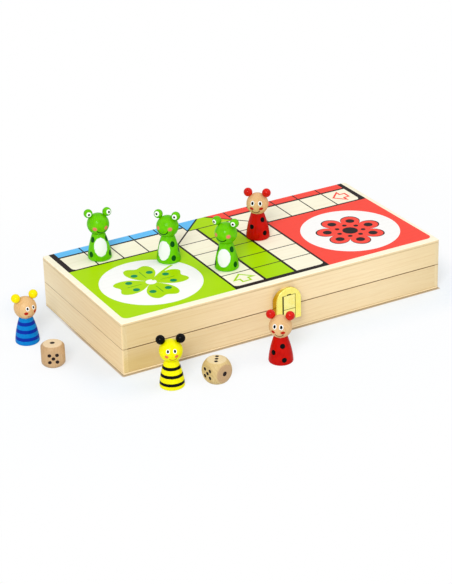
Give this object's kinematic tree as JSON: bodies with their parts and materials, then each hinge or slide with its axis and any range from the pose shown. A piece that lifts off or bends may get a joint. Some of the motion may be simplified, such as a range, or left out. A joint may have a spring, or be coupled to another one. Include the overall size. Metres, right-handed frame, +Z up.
{
  "type": "board game box",
  "caption": "Folding wooden race game: two hinged trays form a box with a brass clasp, their outer faces the board; turned animal pawns and wooden dice stand about it.",
  "frame": {"origin": "centre of the closed box's underside, on the surface it stands on", "axes": "+X to the right along the side with the clasp, +Y from the clasp towards the hinges, +Z up"},
  "size_m": [0.328, 0.1927, 0.0841],
  "materials": {
    "pine": "sanded pale pine, clear matt lacquer",
    "board": "thin plywood with the game printed on it, satin lacquer",
    "brass": "polished pressed brass",
    "beech": "turned wood, clear lacquer",
    "frog_green": "turned wood, gloss green paint",
    "ladybird_red": "turned wood, gloss red paint",
    "bee_yellow": "turned wood, gloss yellow paint",
    "bee_black": "turned wood, gloss black paint",
    "bug_blue": "turned wood, gloss blue paint",
    "bug_yellow": "turned wood, gloss yellow paint"
  },
  "bodies": {
    "box_base": {"lower_front_board": "pine", "lower_back_board": "pine", "lower_left_board": "pine", "lower_right_board": "pine", "lower_board_panel": "board", "hinge_left_lower_leaf": "brass", "hinge_left_lower_nail": "brass", "hinge_left_pin": "brass", "hinge_right_lower_leaf": "brass", "hinge_right_lower_nail": "brass", "hinge_right_pin": "brass", "clasp_lower_block": "brass", "clasp_lower_nail_left": "brass", "clasp_lower_nail_right": "brass"},
    "lid": {"upper_front_board": "pine", "upper_back_board": "pine", "upper_left_board": "pine", "upper_right_board": "pine", "upper_board_panel": "board", "hinge_left_upper_leaf": "brass", "hinge_left_upper_nail": "brass", "hinge_right_upper_leaf": "brass", "hinge_right_upper_nail": "brass", "clasp_upper_block": "brass", "clasp_pin": "brass", "clasp_upper_nail_left": "brass", "clasp_upper_nail_right": "brass"},
    "clasp_loop": {"clasp_loop": "brass"},
    "frog_1": {"frog_1_body": "frog_green", "frog_1_head": "frog_green", "frog_1_eye_left": "frog_green", "frog_1_eye_right": "frog_green"},
    "frog_2": {"frog_2_body": "frog_green", "frog_2_head": "frog_green", "frog_2_eye_left": "frog_green", "frog_2_eye_right": "frog_green"},
    "frog_3": {"frog_3_body": "frog_green", "frog_3_head": "frog_green", "frog_3_eye_left": "frog_green", "frog_3_eye_right": "frog_green"},
    "ladybird_1": {"ladybird_1_body": "ladybird_red", "ladybird_1_head": "beech", "ladybird_1_ear_left": "ladybird_red", "ladybird_1_ear_right": "ladybird_red"},
    "ladybird_2": {"ladybird_2_body": "ladybird_red", "ladybird_2_head": "beech", "ladybird_2_ear_left": "ladybird_red", "ladybird_2_ear_right": "ladybird_red"},
    "bee": {"bee_body": "bee_yellow", "bee_head": "bee_yellow", "bee_ear_left": "bee_black", "bee_ear_right": "bee_black"},
    "bluebug": {"bluebug_body": "bug_blue", "bluebug_head": "beech", "bluebug_ear_left": "bug_yellow", "bluebug_ear_right": "bug_yellow"},
    "die_left": {"die_left": "beech"},
    "die_front": {"die_front": "beech"}
  },
  "joints": [
    {"name": "lid_hinge", "type": "hinge", "parent": "box_base", "child": "lid", "pos_m": [0, 0.06945, 0.02135], "axis": [-1, 0, 0], "range_deg": [0, 180]},
    {"name": "clasp_swing", "type": "hinge", "parent": "lid", "child": "clasp_loop", "pos_m": [-0.0023, -0.07325, 0.03628], "axis": [-1, 0, 0], "range_deg": [0, 90]},
    {"name": "frog_1_lift", "type": "slide", "parent": "lid", "child": "frog_1", "axis": [0, 0, 1], "range_m": [0, 0.06]},
    {"name": "frog_2_lift", "type": "slide", "parent": "lid", "child": "frog_2", "axis": [0, 0, 1], "range_m": [0, 0.06]},
    {"name": "frog_3_lift", "type": "slide", "parent": "lid", "child": "frog_3", "axis": [0, 0, 1], "range_m": [0, 0.06]},
    {"name": "ladybird_1_lift", "type": "slide", "parent": "lid", "child": "ladybird_1", "axis": [0, 0, 1], "range_m": [0, 0.06]},
    {"name": "ladybird_2_lift", "type": "slide", "parent": "box_base", "child": "ladybird_2", "axis": [0, 0, 1], "range_m": [0, 0.06]},
    {"name": "bee_lift", "type": "slide", "parent": "box_base", "child": "bee", "axis": [0, 0, 1], "range_m": [0, 0.06]},
    {"name": "bluebug_lift", "type": "slide", "parent": "box_base", "child": "bluebug", "axis": [0, 0, 1], "range_m": [0, 0.06]},
    {"name": "die_left_lift", "type": "slide", "parent": "box_base", "child": "die_left", "axis": [0, 0, 1], "range_m": [0, 0.06]},
    {"name": "die_front_lift", "type": "slide", "parent": "box_base", "child": "die_front", "axis": [0, 0, 1], "range_m": [0, 0.06]}
  ]
}
